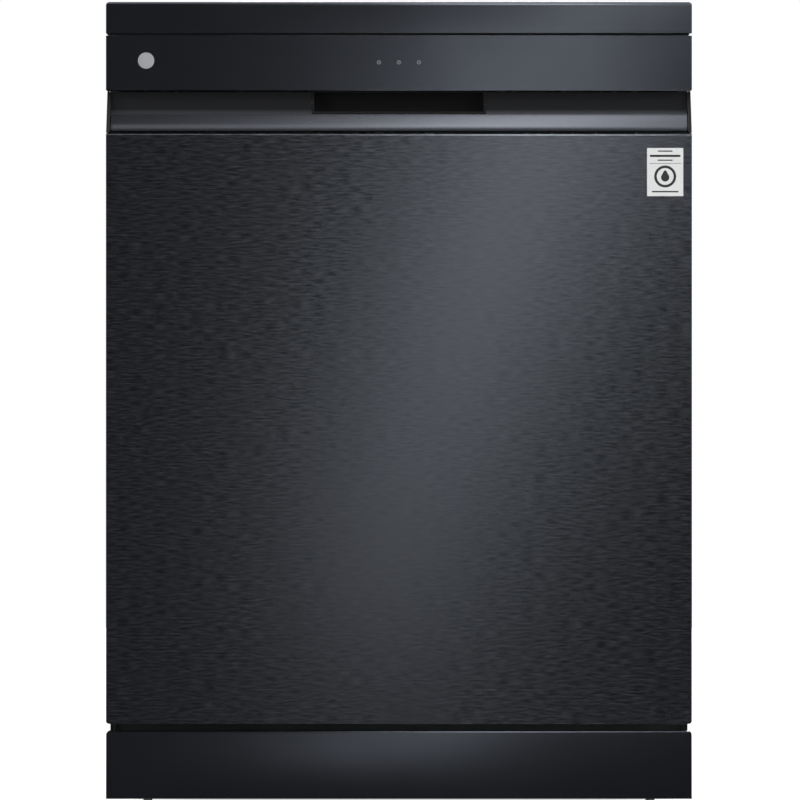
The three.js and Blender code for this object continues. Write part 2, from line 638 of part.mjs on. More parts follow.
add("lower_rack", lowerRack(), "rackWire");
add("upper_rack", upperRack(), "rackWire");
add("cutlery_tray", cutleryTray(), "rackWire");
add("lower_spray_arm", sprayArm(170, 166.5, 182), "greyPlastic");
add("upper_spray_arm", sprayArm(467, 466, 485.5), "greyPlastic");
add("ceiling_spray_arm", sprayArm(768, 767, 787.5), "greyPlastic");

export default model;
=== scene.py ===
"""A 60 cm dishwasher around its CAD frame: the visible surfaces, their materials, the camera and the light.

Metres, +Z up, the door faces -Y. Most pieces are their CAD node with rounded edges and a finished
surface; the racks, wheels, feet, spray arms and tine rows are built here in fine detail.
"""

import json
import math

import bmesh
import bpy
from mathutils import Matrix, Vector

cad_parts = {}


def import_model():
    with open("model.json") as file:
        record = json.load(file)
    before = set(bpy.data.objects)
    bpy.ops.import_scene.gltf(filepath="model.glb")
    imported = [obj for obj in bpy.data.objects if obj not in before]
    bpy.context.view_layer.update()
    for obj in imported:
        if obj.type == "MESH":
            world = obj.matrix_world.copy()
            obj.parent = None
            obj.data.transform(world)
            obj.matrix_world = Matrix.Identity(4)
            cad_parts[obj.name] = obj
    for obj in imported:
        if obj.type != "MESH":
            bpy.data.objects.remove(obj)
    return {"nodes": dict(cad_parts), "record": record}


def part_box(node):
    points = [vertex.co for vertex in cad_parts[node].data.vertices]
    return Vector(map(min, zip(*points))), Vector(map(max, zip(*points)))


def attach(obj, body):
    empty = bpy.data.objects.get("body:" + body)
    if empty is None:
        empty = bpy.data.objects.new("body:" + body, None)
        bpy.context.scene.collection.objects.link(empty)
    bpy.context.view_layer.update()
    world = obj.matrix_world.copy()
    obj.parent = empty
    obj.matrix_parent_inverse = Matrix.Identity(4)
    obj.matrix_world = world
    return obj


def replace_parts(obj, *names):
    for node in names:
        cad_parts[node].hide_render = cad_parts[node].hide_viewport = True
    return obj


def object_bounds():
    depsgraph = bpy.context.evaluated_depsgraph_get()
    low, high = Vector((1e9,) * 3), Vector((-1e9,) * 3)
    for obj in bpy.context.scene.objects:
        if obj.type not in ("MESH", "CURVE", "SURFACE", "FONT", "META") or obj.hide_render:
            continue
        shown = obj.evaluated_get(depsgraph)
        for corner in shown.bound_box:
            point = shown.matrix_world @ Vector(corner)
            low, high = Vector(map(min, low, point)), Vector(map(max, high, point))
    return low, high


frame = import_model()
cad_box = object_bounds()
MM = 0.001
FINE_GRAIN_DEPTH = 0.05 * MM
BODY_OF = {n: body for body, nodes in frame["record"]["behaviour"]["bodies"].items() for n in nodes}
SLOT_OF = {s["node"]: s["material_slot"] for s in frame["record"]["subparts"]}
SIDES = {"left": -1, "right": 1}


# ---------------------------------------------------------------- materials
def new_material(name, color, metallic, roughness, **sockets):
    """A Principled material; sockets are constants set on the shader by name."""
    material = bpy.data.materials.new(name)
    material.use_nodes = True
    shader = material.node_tree.nodes["Principled BSDF"]
    shader.inputs["Base Color"].default_value = (*color, 1)
    shader.inputs["Metallic"].default_value = metallic
    shader.inputs["Roughness"].default_value = roughness
    for socket, value in sockets.items():
        shader.inputs[socket.replace("_", " ")].default_value = value
    return material


def noise(material, scale, stretch=(1, 1, 1), detail=4.0):
    """The Fac output of a noise in object space, stretched per axis."""
    tree = material.node_tree
    place = tree.nodes.new("ShaderNodeTexCoord")
    mapping = tree.nodes.new("ShaderNodeMapping")
    texture = tree.nodes.new("ShaderNodeTexNoise")
    mapping.inputs["Scale"].default_value = stretch
    texture.inputs["Scale"].default_value = scale
    texture.inputs["Detail"].default_value = detail
    tree.links.new(place.outputs["Object"], mapping.inputs["Vector"])
    tree.links.new(mapping.outputs["Vector"], texture.inputs["Vector"])
    return texture.outputs["Fac"]


def map_range(tree, source, before, after):
    """A value carried from one range, (low, high), to another."""
    node = tree.nodes.new("ShaderNodeMapRange")
    node.inputs["From Min"].default_value, node.inputs["From Max"].default_value = before
    node.inputs["To Min"].default_value, node.inputs["To Max"].default_value = after
    tree.links.new(source, node.inputs["Value"])
    return node.outputs["Result"]


MIDDLE_OF_NOISE = (0.3, 0.7)  # most of a noise texture's values lie between these


def vary(material, socket, source, low, high):
    """Sets a shader socket between two values, or two colours, by a texture."""
    tree = material.node_tree
    shader = tree.nodes["Principled BSDF"]
    if isinstance(low, tuple):
        ramp = tree.nodes.new("ShaderNodeValToRGB")
        for stop, position, color in zip(ramp.color_ramp.elements, MIDDLE_OF_NOISE, (low, high)):
            stop.position = position
            stop.color = (*color, 1)
        tree.links.new(source, ramp.inputs["Fac"])
        tree.links.new(ramp.outputs["Color"], shader.inputs[socket])
        return
    result = map_range(tree, source, MIDDLE_OF_NOISE, (low, high))
    tree.links.new(result, shader.inputs[socket])


def bump(material, source, strength, distance=0.2 * MM):
    """Raises the surface by a texture; distance is its depth in metres."""
    tree = material.node_tree
    node = tree.nodes.new("ShaderNodeBump")
    node.inputs["Strength"].default_value = strength
    node.inputs["Distance"].default_value = distance
    tree.links.new(source, node.inputs["Height"])
    tree.links.new(node.outputs["Normal"], tree.nodes["Principled BSDF"].inputs["Normal"])


ACROSS_THE_GRAIN = 0.25  # a quarter turn, so that highlights stretch across the brushing


def brushed(name, dark, light, rough, grain, strength, anisotropy):
    """Metal with a fine grain; grain is how far the noise is squeezed along X, Y and Z."""
    material = new_material(
        name, light, 1.0, sum(rough) / 2, Anisotropic=anisotropy, Anisotropic_Rotation=ACROSS_THE_GRAIN
    )
    streaks = noise(material, 1.0, grain, 5.0)
    vary(material, "Base Color", streaks, dark, light)
    vary(material, "Roughness", streaks, *rough)
    bump(material, streaks, strength, FINE_GRAIN_DEPTH)
    return material


def moulded(name, dark, light, rough, grain=1400, strength=0.12, metallic=0.0, **sockets):
    """Plastic, paint or rubber with a fine moulded grain and a slow change of tone."""
    material = new_material(name, light, metallic, sum(rough) / 2, **sockets)
    vary(material, "Base Color", noise(material, 9.0), dark, light)
    fine = noise(material, grain, detail=2.0)
    vary(material, "Roughness", fine, *rough)
    bump(material, fine, strength)
    return material


HORIZONTAL_GRAIN = (80, 200, 560)  # how far the noise is squeezed along X, Y and Z: streaks along X
TUB_GRAIN = (90, 90, 1900)
MATERIALS = {
    "black_steel": brushed(
        "black_brushed_steel", (0.046, 0.050, 0.057), (0.116, 0.123, 0.137), (0.17, 0.27),
        HORIZONTAL_GRAIN, strength=0.20, anisotropy=0.45,
    ),
    "satin_black": moulded(
        "satin_black_metal", (0.056, 0.060, 0.070), (0.066, 0.071, 0.083), (0.17, 0.20),
        grain=2600, strength=0.02, metallic=1.0,
    ),
    # Painted shade: near-black, far darker than any other moulding here, for the handle's recess and the gap
    # behind the lid; the indicator middles use it too.
    "deep_black": moulded("near_black_and_painted_shade", (0.0016, 0.0017, 0.002), (0.0024, 0.0025, 0.003), (0.60, 0.75)),
    "stainless": brushed(
        "tub_stainless", (0.60, 0.61, 0.62), (0.65, 0.66, 0.67), (0.24, 0.28),
        TUB_GRAIN, strength=0.02, anisotropy=0.0,
    ),
    "galvanised": moulded(
        "galvanised_sheet", (0.34, 0.35, 0.36), (0.50, 0.51, 0.52), (0.38, 0.55),
        grain=120, strength=0.05, metallic=0.85,
    ),
    "side_paint": moulded(
        "side_paint", (0.030, 0.032, 0.036), (0.038, 0.040, 0.045), (0.42, 0.50),
        grain=1900, strength=0.10,
    ),
    "dark_plastic": moulded("dark_plastic", (0.011, 0.012, 0.014), (0.016, 0.017, 0.019), (0.38, 0.50)),
    "grey_plastic": moulded("grey_plastic", (0.27, 0.28, 0.30), (0.33, 0.34, 0.36), (0.36, 0.48)),
    "base_plastic": moulded(
        "base_plastic", (0.020, 0.021, 0.023), (0.030, 0.031, 0.033), (0.55, 0.70),
        grain=900, strength=0.2,
    ),
    "rack_wire": moulded("rack_nylon", (0.16, 0.165, 0.18), (0.20, 0.205, 0.22), (0.30, 0.42), 1500, 0.05),
    "rubber_seal": moulded(
        "seal_rubber", (0.014, 0.014, 0.015), (0.022, 0.022, 0.023), (0.70, 0.85),
        grain=700, strength=0.2,
    ),
    "bitumen_pad": moulded(
        "bitumen_pad", (0.010, 0.010, 0.010), (0.022, 0.021, 0.020), (0.75, 0.95),
        grain=300, strength=0.5,
    ),
    "board_green": moulded(
        "circuit_board", (0.010, 0.075, 0.035), (0.016, 0.11, 0.05), (0.30, 0.42),
        grain=300, strength=0.1,
    ),
    "clear_lens": moulded("light_guide", (0.16, 0.17, 0.18), (0.20, 0.21, 0.22), (0.15, 0.22), 500, 0.02),
    "display": moulded(
        "display_glass", (0.004, 0.004, 0.005), (0.006, 0.006, 0.007), (0.06, 0.10),
        grain=400, strength=0.0,
    ),
    "badge": moulded("badge_metal", (0.34, 0.35, 0.36), (0.42, 0.43, 0.44), (0.30, 0.38), 1500, 0.04, 0.3),
    "label": moulded("label_film", (0.68, 0.69, 0.68), (0.73, 0.74, 0.73), (0.40, 0.50), 1200, 0.02),
    "print": moulded("label_ink", (0.018, 0.020, 0.020), (0.026, 0.028, 0.028), (0.40, 0.50), 1200, 0.02),
}


def height_fade(material, bottom, top):
    """A value that rises over a stretch of height in object space, for vary()."""
    tree = material.node_tree
    place = tree.nodes.new("ShaderNodeTexCoord")
    split = tree.nodes.new("ShaderNodeSeparateXYZ")
    tree.links.new(place.outputs["Object"], split.inputs["Vector"])
    return map_range(tree, split.outputs["Z"], (bottom, top), MIDDLE_OF_NOISE)


def pocket_material():
    """Bright satin metal in the cove, fading into painted shade on the wall above it: near-black, dull and
    not metallic, where the fascia shades the wall.
    """
    # The second colour is painted shade for the wall above the cove, where the fascia shades it.
    metal, shade_black = (0.079, 0.084, 0.096), (0.007, 0.0075, 0.0085)
    cove_top, wall_bottom = 0.7352, 0.7412
    material = new_material("pocket_trim", metal, 1.0, 0.28)
    # Painted shade: over this height the wall turns near-black, dull and not metallic, standing for the shade
    # under the fascia.
    shade_fade = height_fade(material, cove_top, wall_bottom)
    vary(material, "Base Color", shade_fade, metal, shade_black)
    vary(material, "Metallic", shade_fade, 1.0, 0.0)
    vary(material, "Roughness", shade_fade, 0.25, 0.60)
    vary(material, "Specular IOR Level", shade_fade, 0.5, 0.3)
    bump(material, noise(material, 1.0, HORIZONTAL_GRAIN), 0.06, FINE_GRAIN_DEPTH)
    return material


MATERIALS["pocket_trim"] = pocket_material()


# ---------------------------------------------------------------- pieces
def finish_mesh(name, bm, body, slot, finish=None, smooth=35.0):
    """Turns a bmesh into a piece that rides on a body, smooth-shaded below an edge angle in degrees.

    finish names its material, where that isn't the one with its slot's name.
    """
    bmesh.ops.recalc_face_normals(bm, faces=bm.faces)
    mesh = bpy.data.meshes.new(name)
    bm.to_mesh(mesh)
    bm.free()
    for polygon in mesh.polygons:
        polygon.use_smooth = True
    mesh.set_sharp_from_angle(angle=math.radians(smooth))
    piece = bpy.data.objects.new(name, mesh)
    bpy.context.scene.collection.objects.link(piece)
    mesh.materials.append(MATERIALS[finish or slot])
    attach(piece, body)
    return piece


def round_edges(piece, radius, segments):
    """Rounds the edges where the surface turns by more than 30 degrees."""
    bevel = piece.modifiers.new("rounded_edges", "BEVEL")
    bevel.width = radius
    bevel.segments = segments
    bevel.limit_method = "ANGLE"
    bevel.angle_limit = math.radians(30)
    bevel.harden_normals = True
    bevel.use_clamp_overlap = True


def dressed(node, radius, segments=2, finish=None):
    """A CAD node as a finished piece: its flat faces rejoined, its edges rounded and its surface textured."""
    bm = bmesh.new()
    bm.from_mesh(frame["nodes"][node].data)
    bmesh.ops.remove_doubles(bm, verts=bm.verts, dist=1e-6)
    bmesh.ops.dissolve_limit(bm, angle_limit=math.radians(1), verts=bm.verts, edges=bm.edges)
    slot = SLOT_OF[node]
    piece = finish_mesh(node + "_body", bm, BODY_OF[node], slot, finish)
    round_edges(piece, radius, segments)
    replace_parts(piece, node)
    return piece


def add_box(bm, low, high, radius=0.0, segments=2):
    """Adds a box between two corners, with its edges rounded."""
    size = Vector(high) - Vector(low)
    made = bmesh.ops.create_cube(bm, size=1.0)["verts"]
    bmesh.ops.scale(bm, vec=size, verts=made)
    bmesh.ops.translate(bm, vec=(Vector(low) + Vector(high)) / 2, verts=made)
    if radius:
        edges = {e for v in made for e in v.link_edges}
        bmesh.ops.bevel(bm, geom=list(edges), offset=radius, segments=segments, profile=0.5, affect="EDGES")


def add_side_box(bm, side, inner, outer, ys, zs, radius=0.0, segments=2):
    """Adds a box on one side, -1 or 1, between two distances from the middle plane."""
    left, right = sorted((side * inner, side * outer))
    add_box(bm, (left, ys[0], zs[0]), (right, ys[1], zs[1]), radius, segments)


def disc(radius, near, far):
    """The profile of a solid disc."""
    return [(0, near), (radius, near), (radius, far), (0, far)]


def ring(inner, outer, near, far):
    """The closed profile of a square ring."""
    return [(inner, near), (inner, far), (outer, far), (outer, near), (inner, near)]


def arc(centre, radius, start, end, steps):
    """Points on an arc, its angles in degrees."""
    angles = [math.radians(start + (end - start) * n / steps) for n in range(steps + 1)]
    return [(centre[0] + radius * math.cos(a), centre[1] + radius * math.sin(a)) for a in angles]


def rounded_outline(half_u, low_v, high_v, corner, steps, middle=0.0):
    """A closed rectangle with rounded corners, as a list of points."""
    left, right = middle - half_u + corner, middle + half_u - corner
    low, high = low_v + corner, high_v - corner
    corners = ((right, high, 0), (left, high, 90), (left, low, 180), (right, low, 270))
    return [point for u, v, start in corners for point in arc((u, v), corner, start, start + 90, steps)]


def add_turned(bm, profile, centre, axis="Z", steps=40):
    """Adds a body of revolution: profile is [(radius, height), ...] along the axis from centre."""
    turn = {
        "X": Matrix.Rotation(math.pi / 2, 4, "Y"),
        "Y": Matrix.Rotation(-math.pi / 2, 4, "X"),
        "Z": Matrix(),
    }
    place = Matrix.Translation(centre) @ turn[axis]
    rings = []
    for radius, height in profile:
        if not radius:
            rings.append([bm.verts.new(place @ Vector((0, 0, height)))])
            continue
        angles = [2 * math.pi * n / steps for n in range(steps)]
        circle = [place @ Vector((radius * math.cos(a), radius * math.sin(a), height)) for a in angles]
        rings.append([bm.verts.new(point) for point in circle])
    for low, high in zip(rings, rings[1:]):
        for n in range(steps):
            m = n + 1
            corners = [low[n % len(low)], low[m % len(low)], high[m % len(high)], high[n % len(high)]]
            unique = list(dict.fromkeys(corners))
            if len(unique) > 2:
                bm.faces.new(unique)


def add_loft(bm, sections):
    """Adds a closed body through sections, which are lists of as many points each."""
    rings = [[bm.verts.new(point) for point in section] for section in sections]
    for a, b in zip(rings, rings[1:]):
        for n in range(len(a)):
            m = (n + 1) % len(a)
            bm.faces.new((a[n], a[m], b[m], b[n]))
    bm.faces.new(rings[0])
    bm.faces.new(list(reversed(rings[-1])))


def turned(name, profile, centre, axis, node, steps=40):
    """A body of revolution that stands for a CAD node."""
    bm = bmesh.new()
    add_turned(bm, profile, centre, axis, steps)
    slot = SLOT_OF[node]
    piece = finish_mesh(name, bm, BODY_OF[node], slot)
    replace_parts(piece, node)
    return piece


def wires(name, paths, radius, body, slot="rack_wire"):
    """Round wires along open paths, as one piece."""
    curve = bpy.data.curves.new(name, "CURVE")
    curve.dimensions = "3D"
    curve.bevel_depth = radius
    curve.bevel_resolution = 2
    curve.use_fill_caps = True
    for path in paths:
        spline = curve.splines.new("POLY")
        spline.points.add(len(path) - 1)
        for point, place in zip(spline.points, path):
            point.co = (*place, 1)
    piece = bpy.data.objects.new(name, curve)
    bpy.context.scene.collection.objects.link(piece)
    curve.materials.append(MATERIALS[slot])
    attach(piece, body)
    return piece


def spread(low, high, count):
    """count values from low to high, both included."""
    return [low + (high - low) * n / (count - 1) for n in range(count)]


# ---------------------------------------------------------------- cabinet and door, from their CAD nodes
EDGE_RADII = {  # millimetres
    "base_tray": 1.2, "rear_panel": 0.4, "tub_wrapper": 0.5, "tub_back": 0.4,
    "tub_floor": 0.8, "tub_gasket": 1.6, "door_bottom_seal": 0.8,
    "sump": 1.0, "circulation_pump": 1.2, "drain_pump": 0.8, "inlet_valve": 0.8, "water_tank": 1.0,
    "spray_feed_pipe": 2.5, "latch_strike": 0.3, "latch_hook": 0.3,
    "left_side_panel": 0.3, "right_side_panel": 0.3,
    "hinge_bracket_left": 0.4, "hinge_bracket_right": 0.4, "hinge_arm_left": 0.4, "hinge_arm_right": 0.4,
    "upper_rail_left": 0.3, "upper_rail_right": 0.3, "tray_rail_left": 0.3, "tray_rail_right": 0.3,
    "worktop_lid": 0.4, "door_outer_panel": 0.45, "control_fascia": 0.5,
    "indicator_lenses": 0.3, "control_housing": 0.5, "control_board": 0.2, "door_insulation": 0.8,
    "door_inner_liner": 0.4, "detergent_dispenser": 1.0, "detergent_lid": 0.6, "rinse_aid_cap": 0.5,
    "power_button": 0.7, "programme_button": 0.7, "start_button": 0.7,
    "filter_mesh_plate": 0.3, "filter_cylinder": 0.6, "cutlery_tray": 0.6,
}
for node, radius in EDGE_RADII.items():
    dressed(node, radius * MM, 3 if radius > 0.4 else 2)
# Painted shade: the handle housing is made near-black for the shade in its recess.
dressed("handle_housing", 0.6 * MM, 3, "deep_black")
# The pocket trim's wall above the cove carries painted shade, from pocket_material().
dressed("pocket_trim", 0.3 * MM, 2, "pocket_trim")


def kick_plate():
    """The plate with its upper edge folded back over a round, and its two upper corners rounded."""
    low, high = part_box("kick_plate")
    front, half = low.y, high.x
    sheet, fold, corner, shelf = 0.001, 0.0016, 0.003, 0.010
    returns_back = -0.266  # the side returns end just ahead of the side panels
    straight = half - corner
    quarter = [math.radians(15 * n) for n in range(7)]
    ends = [straight + corner * math.sin(a) for a in quarter]
    sections = []
    for x in [-end for end in reversed(ends)] + ends:
        beyond = max(0.0, abs(x) - straight)
        top = high.z - corner + math.sqrt(max(0.0, corner**2 - beyond**2))
        outer, inner = [(front, low.z)], [(front + sheet, low.z)]
        for line, radius in ((outer, fold), (inner, fold - sheet)):
            line += [
                (front + fold - radius * math.cos(a), top - fold + radius * math.sin(a)) for a in quarter
            ]
        outer.append((front + shelf, top))
        inner.append((front + shelf, top - sheet))
        sections.append([(x, y, z) for y, z in outer + inner[::-1]])
    bm = bmesh.new()
    add_loft(bm, sections)
    for side in SIDES.values():
        ys, zs = (front + 0.0012, returns_back), (low.z, high.z - 0.006)
        add_side_box(bm, side, half - sheet, half, ys, zs, 0.0003)
    piece = finish_mesh("kick_plate_face", bm, "root", "satin_black", smooth=50)
    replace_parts(piece, "kick_plate")


def gap_seals():
    """Foam strips that close the slots between the base and the side panels, behind the door's lower edge."""
    for name, side in SIDES.items():
        bm = bmesh.new()
        add_side_box(bm, side, 0.2922, 0.2968, (-0.262, -0.2568), (0.092, 0.1162), 0.0005)
        finish_mesh(f"gap_seal_{name}", bm, "root", "rubber_seal")


def lid_gap_shade_strip():
    """A near-black strip behind the lid's front skin, which closes the view through the gap over the door:
    painted shade that makes the gap read dark.
    """
    low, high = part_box("worktop_lid")
    skin = 0.002
    inside, back_of_skin = high.x - skin - 0.001, low.y + skin
    bm = bmesh.new()
    add_box(bm, (-inside, back_of_skin + 0.0008, 0.8162), (inside, back_of_skin + 0.0055, 0.8235), 0.0005)
    finish_mesh("lid_gap_shade_strip", bm, "root", "rubber_seal", "deep_black")


kick_plate()
gap_seals()
lid_gap_shade_strip()


# ---------------------------------------------------------------- racks
COLUMNS, ROWS = 22, 19  # wires of each rack, across and from front to back
WIRE_BEND = 0.01
RACK_CORNER = 0.02


def rack(node, body, half, front, back, floor, top, wire, rim):
    """A round-wire basket: U-shaped wires both ways, and two hoops of a thicker wire."""
    half, front, back, top = half - rim, front + rim, back - rim, top - rim
    paths = []
    for x in spread(-half, half, COLUMNS):
        paths.append([
            (x, front, top), (x, front, floor + WIRE_BEND), (x, front + WIRE_BEND, floor),
            (x, back - WIRE_BEND, floor), (x, back, floor + WIRE_BEND), (x, back, top),
        ])
    z = floor + 2 * wire
    for y in spread(front, back, ROWS):
        paths.append([
            (-half, y, top), (-half, y, z + WIRE_BEND), (-half + WIRE_BEND, y, z),
            (half - WIRE_BEND, y, z), (half, y, z + WIRE_BEND), (half, y, top),
        ])
    wires(node + "_grid", paths, wire, body)
    outline = rounded_outline(half, front, back, RACK_CORNER, 6)
    outline.append(outline[0])
    levels = (top, (floor + top) / 2)
    hoops = wires(node + "_rims", [[(x, y, z) for x, y in outline] for z in levels], rim, body)
    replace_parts(hoops, node)


rack("lower_rack", "root", 0.250, -0.228, 0.225, 0.198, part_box("lower_rack")[1].z, 0.0016, 0.0026)
rack("upper_rack", "upper_rack", 0.247, -0.228, 0.215, 0.498, 0.600, 0.0015, 0.0024)


# ---------------------------------------------------------------- wheels, feet, arms and tine rows
def wheel(node):
    """A wheel with a rim, a thin web and a hub, the same on both faces."""
    low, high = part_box(node)
    radius = (high.z - low.z) / 2
    centre = (low.x, (low.y + high.y) / 2, (low.z + high.z) / 2)
    width = high.x - low.x
    rim, hub, web = 0.0035, 0.0055, 0.0022
    profile = [
        (0, 0.0004), (hub - 0.001, 0.0004), (hub, 0.0014), (hub, web), (radius - rim, web),
        (radius - rim, 0.0008), (radius - rim + 0.0008, 0), (radius - 0.0008, 0), (radius, 0.001),
        (radius, width - 0.001), (radius - 0.0008, width), (radius - rim + 0.0008, width),
        (radius - rim, width - 0.0008), (radius - rim, width - web), (hub, width - web),
        (hub, width - 0.0014), (hub - 0.001, width - 0.0004), (0, width - 0.0004),
    ]
    turned(node + "_disc", profile, centre, "X", node, steps=48)


def foot(node):
    """A levelling foot: a round pad, a hexagonal nut and a threaded stud."""
    low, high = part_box(node)
    pad, stem, neck = (high.x - low.x) / 2, 0.005, 0.013
    pad_top, nut_top, thread_start = 0.0135, 0.0215, 0.0217
    profile = [
        (0, 0), (pad - 0.0015, 0), (pad, 0.0012), (pad, 0.0045), (pad - 0.0012, 0.0058),
        (neck, pad_top), (0, pad_top),
    ]
    centre = ((low.x + high.x) / 2, (low.y + high.y) / 2, 0)
    turned(node + "_pad", profile, centre, "Z", node)
    bm = bmesh.new()
    add_turned(bm, disc(0.0125, pad_top + 0.0002, nut_top), centre, "Z", 6)
    turns, root = 24, stem - 0.0006
    pitch = (high.z - thread_start) / turns
    thread = [(0, thread_start)]
    for n in range(turns):
        z = thread_start + n * pitch
        thread += [(root, z), (stem, z + pitch / 2)]
    thread += [(root, high.z), (0, high.z)]
    add_turned(bm, thread, centre, "Z", 20)
    finish_mesh(node + "_stud", bm, BODY_OF[node], "galvanised")


for end in ("front", "rear"):
    for side in SIDES:
        wheel(f"wheel_{end}_{side}")
        foot(f"foot_{end}_{side}")


def spray_arm(node, nozzles_up):
    """A moulded arm: two crowned blades, a hub and a row of nozzles on each blade."""
    low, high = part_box(node)
    reach = (high.x - low.x) / 2
    centre = Vector(((low.x + high.x) / 2, (low.y + high.y) / 2, 0))
    under = low.z + (0.0035 if node == "lower_spray_arm" else 0.001)
    thick, root_half, tip_half, tip_start = 0.010, 0.025, 0.014, 0.94
    sections = []
    for t in spread(-1, 1, 41):
        rounding = max(0.0, (abs(t) - tip_start) / (1 - tip_start))
        end = math.sqrt(max(0.0, 1 - rounding**2))
        half = max((root_half - (root_half - tip_half) * abs(t)) * end, 0.0008)
        section = []
        for n in range(16):
            a = 2 * math.pi * n / 16
            y = half * math.copysign(abs(math.cos(a)) ** 0.6, math.cos(a))
            z = thick / 2 * math.copysign(abs(math.sin(a)) ** 0.55, math.sin(a)) * (0.6 + 0.4 * end)
            section.append(centre + Vector((t * (reach - 0.0005), y, under + thick / 2 + z)))
        sections.append(section)
    bm = bmesh.new()
    add_loft(bm, sections)
    blades = finish_mesh(node + "_blades", bm, BODY_OF[node], "grey_plastic", smooth=50)
    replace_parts(blades, node)
    bm = bmesh.new()
    hub = 0.018
    profile = [
        (0, low.z), (hub - 0.001, low.z), (hub, low.z + 0.001),
        (hub, high.z - 0.002), (hub - 0.002, high.z), (0, high.z),
    ]
    add_turned(bm, profile, centre, "Z", 48)
    out = 0.0016 if nozzles_up else -0.0016
    face = under + thick - 0.0006 if nozzles_up else under + 0.0006
    nozzle = [(0.0045, 0), (0.004, out * 0.6), (0.0025, out), (0.0022, 0)]
    for side in SIDES.values():
        for n, x in enumerate(spread(0.06, reach - 0.02, 6)):
            add_turned(bm, nozzle, centre + Vector((side * x, 0.006 * (-1) ** n, face)), "Z", 16)
    finish_mesh(node + "_hub_and_nozzles", bm, BODY_OF[node], "grey_plastic", "dark_plastic", smooth=40)


spray_arm("lower_spray_arm", True)
spray_arm("upper_spray_arm", True)
spray_arm("ceiling_spray_arm", False)


def tine_row(node):
    """A folding row: a round rod with bent tines, thicker than the rack's wires."""
    low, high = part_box(node)
    x = (low.x + high.x) / 2
    z = low.z + 0.002
    paths = [[(x, low.y, z), (x, high.y, z)]]
    for y in spread(low.y + 0.010, high.y - 0.010, 13):
        paths.append([(x, y, z), (x, y + 0.002, high.z - 0.03), (x, y, high.z - 0.0015)])
    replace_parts(wires(node + "_wires", paths, 0.0016, node), node)


for side in SIDES:
    tine_row(f"tine_row_{side}")


# ---------------------------------------------------------------- upper rack fittings
def upper_rack_fittings():
    """The runners on both sides, the pipe that feeds the spray arm below, and the handle."""
    runner = 0.572
    bm = bmesh.new()
    for side in SIDES.values():
        add_side_box(bm, side, 0.270, 0.276, (-0.218, 0.210), (runner - 0.006, runner + 0.006), 0.0012)
        for y in (-0.150, 0, 0.150):
            ys, zs = (y - 0.010, y + 0.010), (runner - 0.002, runner + 0.002)
            add_side_box(bm, side, 0.243, 0.2715, ys, zs, 0.0008)
    finish_mesh("upper_rack_runners", bm, "upper_rack", "stainless")
    bm = bmesh.new()
    add_box(bm, (-0.009, 0.010, 0.4875), (0.009, 0.2362, 0.4965), 0.003, 3)
    hub = [(0, 0.4864), (0.013, 0.4864), (0.014, 0.4874), (0.014, 0.4972), (0, 0.4972)]
    add_turned(bm, hub, (0, 0.020, 0), "Z", 40)
    finish_mesh("upper_arm_feed", bm, "upper_rack", "grey_plastic")
    bm = bmesh.new()
    add_box(bm, (-0.060, -0.2288, 0.560), (0.060, -0.2252, 0.5978), 0.0015, 3)
    finish_mesh("upper_rack_handle", bm, "upper_rack", "dark_plastic")


upper_rack_fittings()


# ---------------------------------------------------------------- small fittings
def screw(bm, place, axis, radius=0.004):
    """A pan head, with a round recess in place of its cross slot."""
    head = [
        (0, 0.0012), (radius * 0.35, 0.0012), (radius * 0.4, 0.0018), (radius * 0.8, 0.0017),
        (radius, 0.0008), (radius, 0), (0, 0),
    ]
    add_turned(bm, head, place, axis, 20)


def indicator_rings():
    """A pale ring with a dark middle round each light guide where it comes through the fascia."""
    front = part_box("control_fascia")[0].y
    low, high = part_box("indicator_lenses")
    pitch, inner, outer = 0.0204, 0.0010, 0.0021
    profile = [
        (inner, 0.0004), (inner, -0.0001), (0.0019, -0.0001), (outer, 0), (outer, 0.0004), (inner, 0.0004),
    ]
    rings, middles = bmesh.new(), bmesh.new()
    for x in (-pitch, 0, pitch):
        place = (x, front, (low.z + high.z) / 2)
        add_turned(rings, profile, place, "Y", 32)
        add_turned(middles, disc(0.0011, -0.00005, 0.0003), place, "Y", 24)
    finish_mesh("indicator_rings", rings, "door", "clear_lens")
    finish_mesh("indicator_middles", middles, "door", "clear_lens", "deep_black")


EDGE_LINE = 0.00035  # radius of the beads that catch the light along an edge


def pocket_edge_lines():
    """A thin bright bead down each end of the pocket, along the slanted cheek."""
    low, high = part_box("pocket_trim")
    x, toe, top = 0.29585, (-0.2988, low.z + 0.001), (-0.2850, high.z - 0.0006)
    lines = [[(side * x, *toe), (side * x, *top)] for side in SIDES.values()]
    wires("pocket_edge_lines", lines, EDGE_LINE, "door", "satin_black")


def front_edge_lines():
    """Thin bright beads under the fascia's lower edge and along the kick plate's folded edge."""
    low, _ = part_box("control_fascia")
    under = [(side * 0.2980, low.y + 0.0008, low.z - 0.0001) for side in SIDES.values()]
    wires("fascia_edge_line", [under], EDGE_LINE, "door", "satin_black")
    low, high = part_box("kick_plate")
    fold = [(side * (high.x - 0.0030), low.y + 0.0004, high.z - 0.0003) for side in SIDES.values()]
    wires("kick_edge_line", [fold], EDGE_LINE, "root", "satin_black")


pocket_edge_lines()
front_edge_lines()
indicator_rings()


def fascia_badge():
    """A plain round metal button at the left of the fascia, with no mark on it."""
    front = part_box("control_fascia")[0].y
    centre = (-0.258, front, 0.7895)
    badge = [(0, -0.00015), (0.0079, -0.00015), (0.0083, -0.0001), (0.0084, 0.0004), (0, 0.0004)]
    bm = bmesh.new()
    add_turned(bm, badge, centre, "Y", 56)
    finish_mesh("fascia_badge", bm, "door", "clear_lens", "badge")


def add_outline(bm, points, front, back):
    """Adds a flat plate from front to back along Y whose outline is a list of (x, z)."""
    near = [bm.verts.new((x, front, z)) for x, z in points]
    far = [bm.verts.new((x, back, z)) for x, z in points]
    bm.faces.new(near)
    bm.faces.new(list(reversed(far)))
    for n in range(len(points)):
        m = (n + 1) % len(points)
        bm.faces.new((near[n], near[m], far[m], far[n]))


